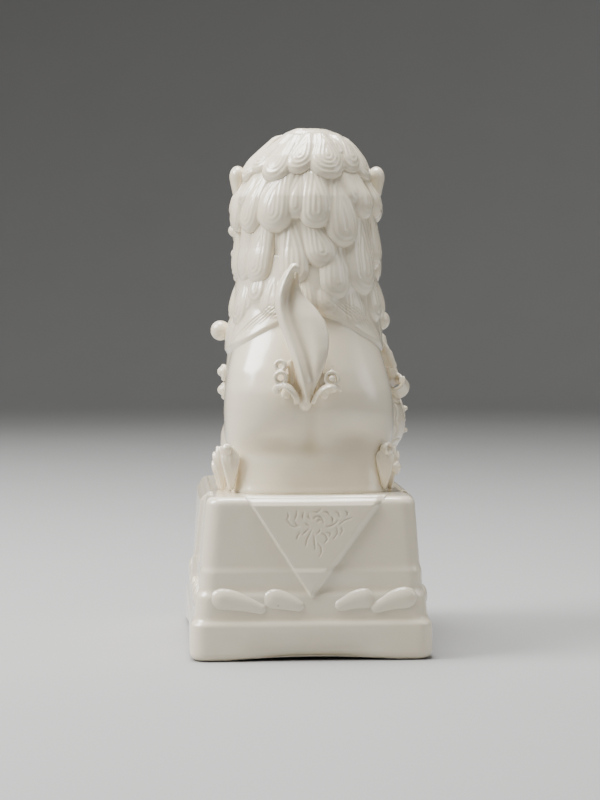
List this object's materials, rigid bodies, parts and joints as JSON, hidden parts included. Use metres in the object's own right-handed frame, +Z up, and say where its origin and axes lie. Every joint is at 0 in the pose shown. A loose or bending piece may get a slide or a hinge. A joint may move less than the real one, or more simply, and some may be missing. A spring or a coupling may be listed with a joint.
{
  "type": "guardian lion statue",
  "caption": "Seated guardian lion of glossy ivory porcelain on a tall cloth-draped plinth, with layered mane, upright tail and a brocade ball under the right paw.",
  "frame": {"origin": "middle of the underside of the plinth's foot slab", "axes": "+Z up, the lion faces -Y, +X is the lion's left"},
  "size_m": [0.1378, 0.175, 0.3037],
  "materials": {
    "ivory_glaze": "gloss"
  },
  "bodies": {
    "root": {"plinth": "ivory_glaze", "cloth_corner_rear": "ivory_glaze", "cloth_corner_front": "ivory_glaze", "cloth_corner_left": "ivory_glaze", "cloth_corner_right": "ivory_glaze", "lotus_rear": "ivory_glaze", "lotus_front": "ivory_glaze", "lotus_left": "ivory_glaze", "lotus_right": "ivory_glaze", "ball_rest": "ivory_glaze", "brocade_ball": "ivory_glaze", "ball_studs": "ivory_glaze", "body": "ivory_glaze", "head": "ivory_glaze", "lower_jaw": "ivory_glaze", "tongue": "ivory_glaze", "upper_teeth": "ivory_glaze", "lower_teeth": "ivory_glaze", "nose": "ivory_glaze", "eye_left": "ivory_glaze", "eye_right": "ivory_glaze", "brow_left": "ivory_glaze", "brow_right": "ivory_glaze", "forepaw_left": "ivory_glaze", "forepaw_right": "ivory_glaze", "foreleg_left": "ivory_glaze", "foreleg_right": "ivory_glaze", "hind_paw_left": "ivory_glaze", "hind_paw_right": "ivory_glaze", "mane_crown": "ivory_glaze", "mane_upper": "ivory_glaze", "mane_middle": "ivory_glaze", "mane_lower": "ivory_glaze", "ear_left": "ivory_glaze", "ear_right": "ivory_glaze", "ruff_left": "ivory_glaze", "ruff_right": "ivory_glaze", "beard": "ivory_glaze", "collar": "ivory_glaze", "bell": "ivory_glaze", "shoulder_knob_left": "ivory_glaze", "shoulder_knob_right": "ivory_glaze", "elbow_curls": "ivory_glaze", "ribbon_loop": "ivory_glaze", "ribbon": "ivory_glaze", "tail": "ivory_glaze", "tail_curls_left": "ivory_glaze", "tail_curls_right": "ivory_glaze", "hock_tufts_left": "ivory_glaze", "hock_tufts_right": "ivory_glaze"}
  },
  "joints": []
}
